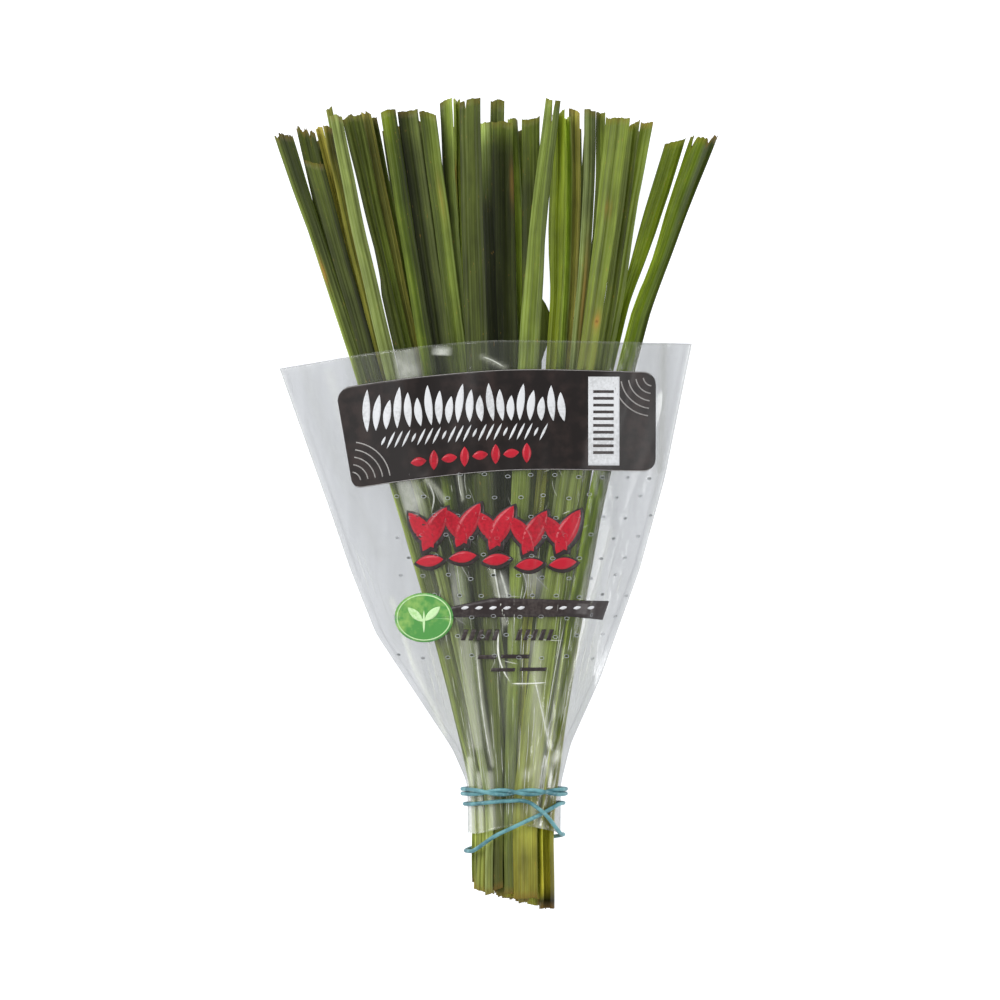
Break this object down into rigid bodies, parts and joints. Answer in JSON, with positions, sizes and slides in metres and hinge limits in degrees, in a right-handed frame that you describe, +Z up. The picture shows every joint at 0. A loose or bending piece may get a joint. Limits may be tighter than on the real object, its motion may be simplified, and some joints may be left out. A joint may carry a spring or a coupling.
{
  "type": "lemongrass bunch in a clear sleeve",
  "caption": "Cut lemongrass leaves in a fanned bunch, lying in a clear tapered film sleeve held at the butts by rubber bands.",
  "frame": {"origin": "on the table, under the middle of the bunch's bounding box", "axes": "+Y along the bunch towards the cut leaf tops, +Z up from the table it lies on, +X to the right when seen from above with the leaf tops away"},
  "size_m": [0.1743, 0.3254, 0.0317],
  "materials": {
    "leaf_dark": "fresh dark green grass blade, satin, fine parallel veins",
    "leaf_mid": "fresh mid green grass blade, satin, fine parallel veins",
    "leaf_light": "light green inner face of a grass blade, satin, fine parallel veins",
    "leaf_bright": "bright yellow green grass blade, satin, fine parallel veins",
    "leaf_pale": "pale green leaf sheath, satin, fine parallel veins",
    "leaf_brown": "green grass blade drying to brown, matt, fine parallel veins",
    "film": "clear thin polypropylene film, glossy, creased",
    "rubber": "teal rubber, satin",
    "label": null,
    "sticker": null
  },
  "bodies": {
    "root": {"leaf_8_1": "leaf_pale", "leaf_8_2": "leaf_mid", "leaf_8_3": "leaf_light", "leaf_8_4": "leaf_light", "leaf_7_1": "leaf_mid", "leaf_7_2": "leaf_bright", "leaf_7_3": "leaf_light", "leaf_7_4": "leaf_bright", "leaf_7_5": "leaf_pale", "leaf_7_6": "leaf_mid", "leaf_6_1": "leaf_dark", "leaf_6_2": "leaf_dark", "leaf_6_3": "leaf_dark", "leaf_6_4": "leaf_light", "leaf_6_5": "leaf_light", "leaf_6_6": "leaf_light", "leaf_5_1": "leaf_mid", "leaf_5_2": "leaf_brown", "leaf_5_3": "leaf_dark", "leaf_5_4": "leaf_pale", "leaf_5_5": "leaf_brown", "leaf_5_6": "leaf_bright", "leaf_4_1": "leaf_brown", "leaf_4_2": "leaf_brown", "leaf_4_3": "leaf_mid", "leaf_4_4": "leaf_dark", "leaf_4_5": "leaf_mid", "leaf_4_6": "leaf_dark", "leaf_4_7": "leaf_mid", "leaf_3_1": "leaf_dark", "leaf_3_2": "leaf_dark", "leaf_3_3": "leaf_mid", "leaf_3_4": "leaf_mid", "leaf_3_5": "leaf_light", "leaf_3_6": "leaf_mid", "leaf_3_7": "leaf_dark", "leaf_2_1": "leaf_dark", "leaf_2_2": "leaf_mid", "leaf_2_3": "leaf_mid", "leaf_2_4": "leaf_dark", "leaf_2_5": "leaf_mid", "leaf_2_6": "leaf_mid", "leaf_2_7": "leaf_dark", "leaf_1_1": "leaf_mid", "leaf_1_2": "leaf_dark", "leaf_1_3": "leaf_mid", "leaf_1_4": "leaf_light", "leaf_1_5": "leaf_dark", "leaf_1_6": "leaf_mid", "rolled_leaf": "leaf_bright", "sleeve": "film", "band_upper": "rubber", "band_lower": "rubber", "label": "label", "sticker": "sticker"}
  },
  "joints": []
}
